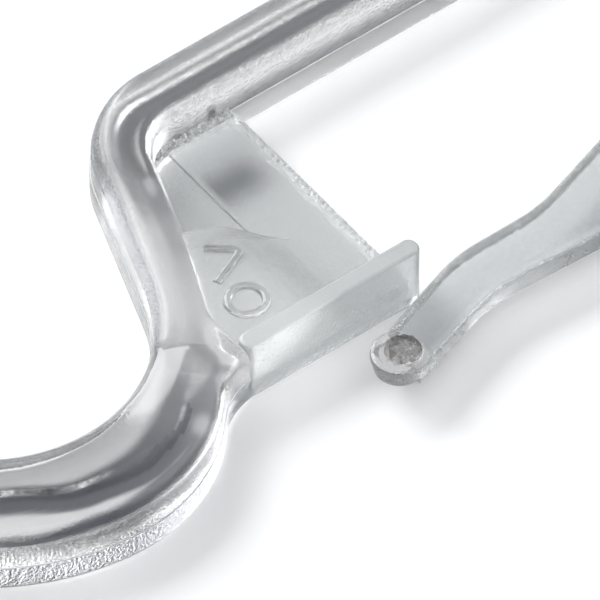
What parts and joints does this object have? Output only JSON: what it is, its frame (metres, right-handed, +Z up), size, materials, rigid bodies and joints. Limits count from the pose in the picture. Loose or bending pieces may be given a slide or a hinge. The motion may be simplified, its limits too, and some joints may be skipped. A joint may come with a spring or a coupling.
{
  "type": "clear clothes accessory hanger",
  "caption": "Clear moulded clothes accessory hanger: thick rail hook, rounded loop with a thin corner web and keeper rib, and an S-bent gate arm that swings on a pin to open the loop.",
  "frame": {"origin": "centre of the hook's rail opening on the underside plane", "axes": "+X from the hook towards the far end of the loop, +Y from the gate towards the long bar, +Z up through the thickness with the hanger lying flat"},
  "size_m": [0.0998, 0.0417, 0.0062],
  "materials": {
    "clear_plastic": "clear moulded styrene, polished faces with fine mould texture on the edges",
    "frosted_plastic": "the same clear plastic with a lightly matted surface"
  },
  "bodies": {
    "hanger": {"rail_hook": "clear_plastic", "loop_frame": "clear_plastic", "web_plate": "frosted_plastic", "mark_pad": "frosted_plastic", "relief_ring": "clear_plastic", "relief_chevron": "clear_plastic", "keeper_rib": "clear_plastic", "hinge_pin": "clear_plastic"},
    "gate": {"gate_arm": "clear_plastic", "gate_stud": "clear_plastic"}
  },
  "joints": [
    {"name": "gate_hinge", "type": "hinge", "parent": "hanger", "child": "gate", "pos_m": [0.07125, -0.0164, 0.0031], "axis": [0, 0, 1], "range_deg": [-1.8, 75]}
  ]
}
